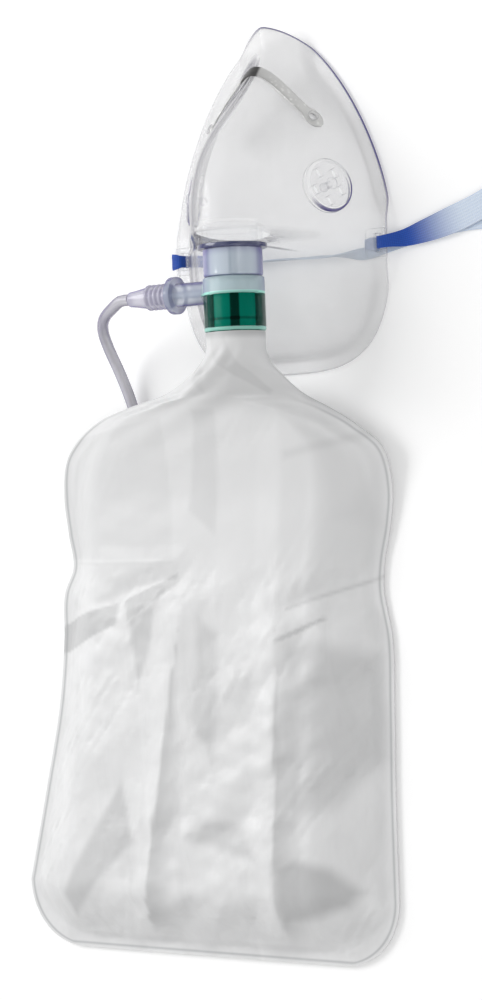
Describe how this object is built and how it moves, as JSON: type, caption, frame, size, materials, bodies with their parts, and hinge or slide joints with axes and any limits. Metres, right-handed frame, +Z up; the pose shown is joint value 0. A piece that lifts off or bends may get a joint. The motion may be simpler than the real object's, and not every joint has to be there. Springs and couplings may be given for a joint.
{
  "type": "oxygen face mask",
  "caption": "Clear face mask for oxygen with a connector, a film reservoir bag, coiled tubing and an elastic head strap, lying open side down",
  "frame": {"origin": "underside of the rim at the chin, in the plane of symmetry of the mask, on the surface that the mask lies on", "axes": "+Y from the bag to the nose, +Z up out of the front of the mask, +X to the side of the visible strap"},
  "size_m": [0.3109, 0.3548, 0.0539],
  "materials": {
    "clear_vinyl": "clear soft vinyl, glossy with a slight haze",
    "soft_aluminium": "dull soft aluminium strip",
    "clear_silicone": "translucent silicone",
    "pale_blue_plastic": "clear plastic with a pale blue tint, glossy",
    "cyan_clear_plastic": "clear plastic with a faint cyan tint, glossy",
    "green_plastic": "deep green plastic, glossy",
    "bag_film": "thin milky film, creased, glossy",
    "cuff_vinyl": "soft translucent vinyl, lilac tint",
    "tube_vinyl": "soft clear tubing with lengthwise ribs",
    "blue_elastic": "blue woven elastic"
  },
  "bodies": {
    "root": {"mask_shell": "clear_vinyl", "nose_clip": "soft_aluminium", "exhale_valve_left": "clear_silicone", "exhale_valve_right": "clear_silicone", "mask_connector": "pale_blue_plastic", "oxygen_tee": "cyan_clear_plastic", "bag_valve_disc": "clear_silicone", "bag_adapter": "green_plastic", "reservoir_bag": "bag_film", "inlet_cuff": "cuff_vinyl", "oxygen_tube_lead": "tube_vinyl", "oxygen_tube_coil": "tube_vinyl", "oxygen_tube_tail": "tube_vinyl", "outlet_cuff": "cuff_vinyl", "head_strap": "blue_elastic"}
  },
  "joints": []
}
